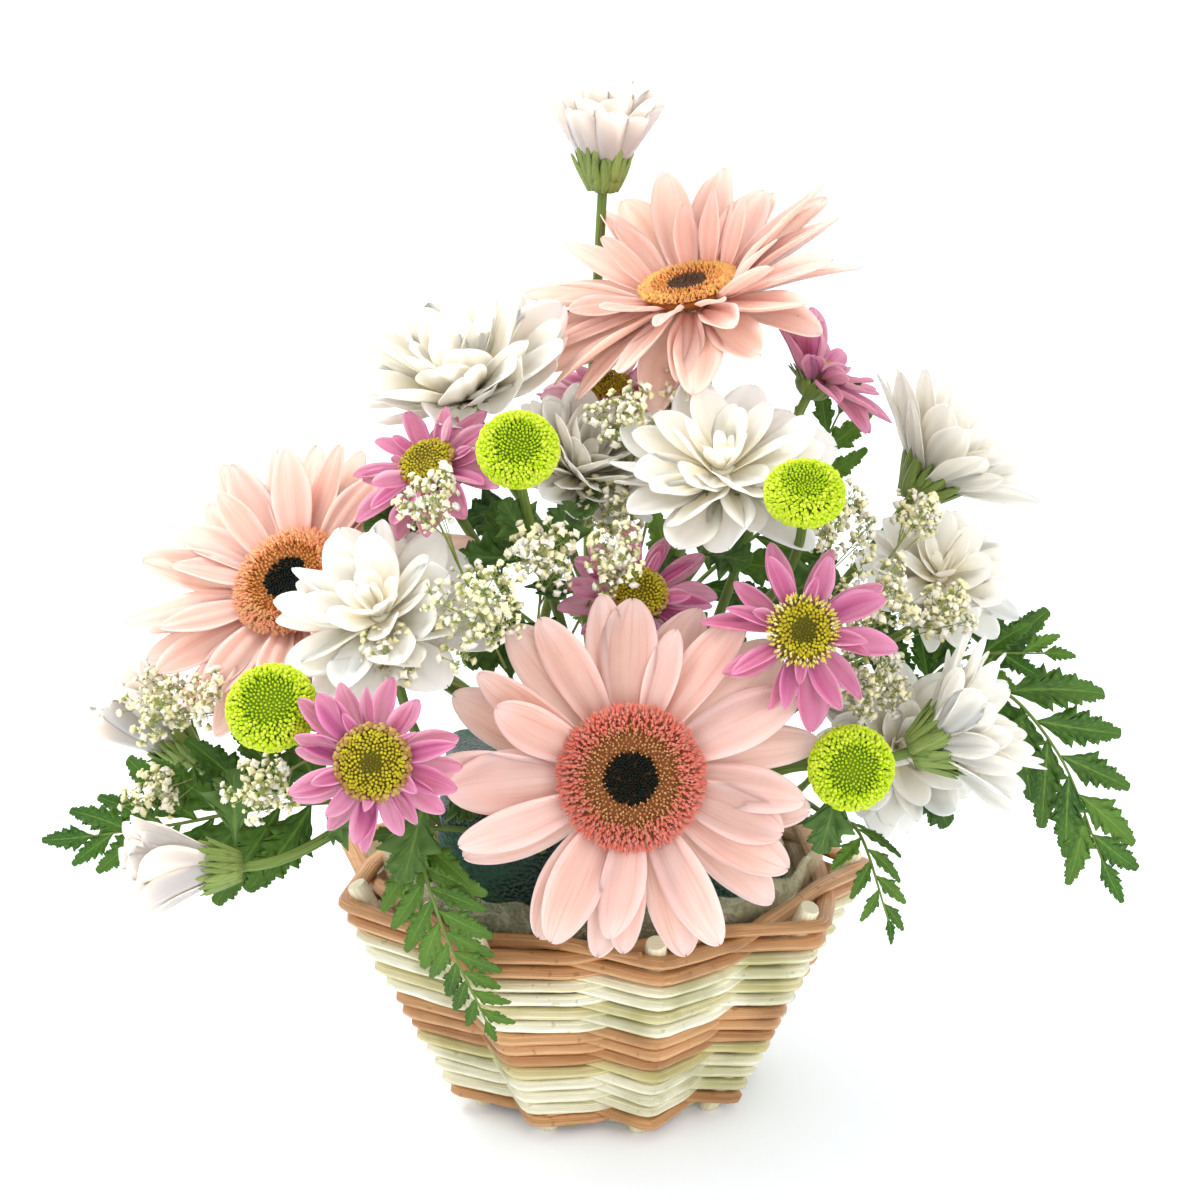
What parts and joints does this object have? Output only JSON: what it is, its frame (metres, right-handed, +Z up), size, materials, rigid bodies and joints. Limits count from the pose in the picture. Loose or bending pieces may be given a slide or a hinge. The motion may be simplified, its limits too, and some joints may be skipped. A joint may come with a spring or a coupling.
{
  "type": "flower basket arrangement",
  "caption": "Woven round basket with a clear liner and floral foam, holding gerberas, white and mauve spray chrysanthemums, lime button blooms, fern and baby's breath.",
  "frame": {"origin": "the middle of the basket's underside, on the table", "axes": "+Z up, -Y towards the front of the arrangement, +X to its right seen from the front"},
  "size_m": [0.2943, 0.209, 0.2858],
  "materials": {
    "pale_wicker": "dry satin",
    "brown_wicker": "dry satin",
    "clear_film": "clear gloss",
    "wet_foam": "matte, wet",
    "peach_petals": "velvety matte",
    "gerbera_florets": "matte",
    "white_petals": "velvety matte",
    "mauve_petals": "velvety matte",
    "daisy_florets": "matte",
    "lime_florets": "matte",
    "stem_green": "satin",
    "fern_green": "satin",
    "baby_breath": "matte"
  },
  "bodies": {
    "root": {"basket_base_and_stakes": "pale_wicker", "basket_foot_row": "brown_wicker", "basket_lower_rows": "pale_wicker", "basket_middle_rows": "brown_wicker", "basket_rim_rows": "brown_wicker", "basket_upper_rows": "pale_wicker", "breath_centre": "baby_breath", "breath_left": "baby_breath", "breath_right": "baby_breath", "breath_top": "baby_breath", "button_left_head": "lime_florets", "button_low_head": "lime_florets", "button_right_head": "lime_florets", "button_upper_head": "lime_florets", "clear_liner": "clear_film", "daisy_behind_petals": "mauve_petals", "daisy_centre_disc": "daisy_florets", "daisy_centre_petals": "mauve_petals", "daisy_front_left_disc": "daisy_florets", "daisy_front_left_petals": "mauve_petals", "daisy_right_disc": "daisy_florets", "daisy_right_petals": "mauve_petals", "daisy_top_right_petals": "mauve_petals", "daisy_upper_left_disc": "daisy_florets", "daisy_upper_left_petals": "mauve_petals", "fern_back": "fern_green", "fern_front": "fern_green", "fern_left": "fern_green", "fern_right": "fern_green", "floral_foam": "wet_foam", "gerbera_front_disc": "gerbera_florets", "gerbera_front_petals": "peach_petals", "gerbera_front_stem": "stem_green", "gerbera_left_disc": "gerbera_florets", "gerbera_left_petals": "peach_petals", "gerbera_left_stem": "stem_green", "gerbera_top_disc": "gerbera_florets", "gerbera_top_petals": "peach_petals", "gerbera_top_stem": "stem_green", "mauve_spray_left": "stem_green", "mauve_spray_middle": "stem_green", "mauve_spray_right": "stem_green", "mauve_spray_top": "stem_green", "mauve_spray_upper": "stem_green", "mum_behind_button_petals": "white_petals", "mum_centre_petals": "white_petals", "mum_left_back_petals": "white_petals", "mum_left_low_petals": "white_petals", "mum_left_petals": "white_petals", "mum_right_low_petals": "white_petals", "mum_right_petals": "white_petals", "mum_right_side_petals": "white_petals", "mum_right_top_petals": "white_petals", "mum_tall_petals": "white_petals", "mum_upper_left_petals": "white_petals", "white_spray_left": "stem_green", "white_spray_low_right": "stem_green", "white_spray_middle": "stem_green", "white_spray_right": "stem_green", "white_spray_tall": "stem_green"}
  },
  "joints": []
}
